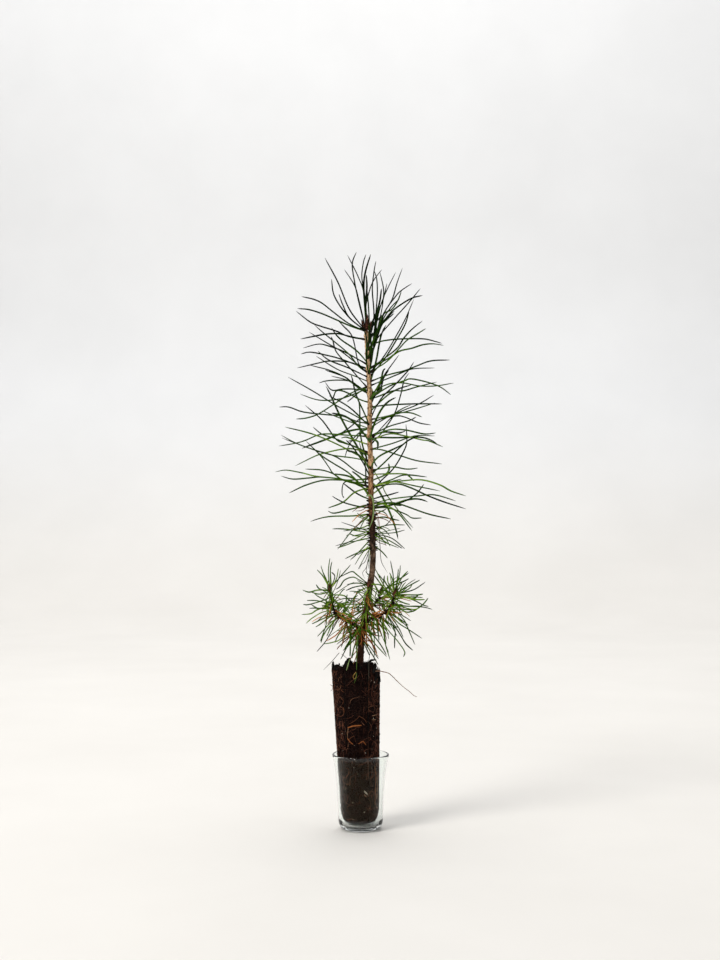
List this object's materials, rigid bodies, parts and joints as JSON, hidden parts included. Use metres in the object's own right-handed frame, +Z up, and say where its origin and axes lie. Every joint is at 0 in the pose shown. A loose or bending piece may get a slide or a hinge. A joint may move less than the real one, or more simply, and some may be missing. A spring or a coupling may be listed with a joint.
{
  "type": "bristlecone pine seedling",
  "caption": "Young bristlecone pine with long needles, grown in a ribbed root plug that stands upright in a small clear glass.",
  "frame": {"origin": "centre of the glass's flat underside, where it rests on a table", "axes": "+Z up along the seedling, -Y towards the viewer at the front, +X to the viewer's right"},
  "size_m": [0.1555, 0.1752, 0.4616],
  "materials": {
    "clear_glass": "clear polished glass",
    "peat": "rough, dark moist peat",
    "bark": "matt scaly bark",
    "twig_bark": "matt brown bark",
    "needles": "satin green needles",
    "dry_root": "matt dry root"
  },
  "bodies": {
    "root": {"bough_back": "twig_bark", "bough_front": "twig_bark", "bough_left": "twig_bark", "bough_right": "twig_bark", "foot_back": "needles", "foot_front": "needles", "foot_left": "needles", "foot_right": "needles", "foot_upper_left": "needles", "foot_upper_right": "needles", "glass_cup": "clear_glass", "leader_low_back": "needles", "leader_low_front": "needles", "leader_low_left": "needles", "leader_low_right": "needles", "leader_mid_back": "needles", "leader_mid_front": "needles", "leader_mid_left": "needles", "leader_mid_right": "needles", "leader_top_back": "needles", "leader_top_front": "needles", "leader_top_left": "needles", "leader_top_right": "needles", "loose_root": "dry_root", "needles_back": "needles", "needles_front": "needles", "needles_left": "needles", "needles_right": "needles", "needles_tuft": "needles", "root_plug": "peat", "trunk": "bark", "whorl_back": "needles", "whorl_front": "needles", "whorl_left": "needles", "whorl_right": "needles"}
  },
  "joints": []
}
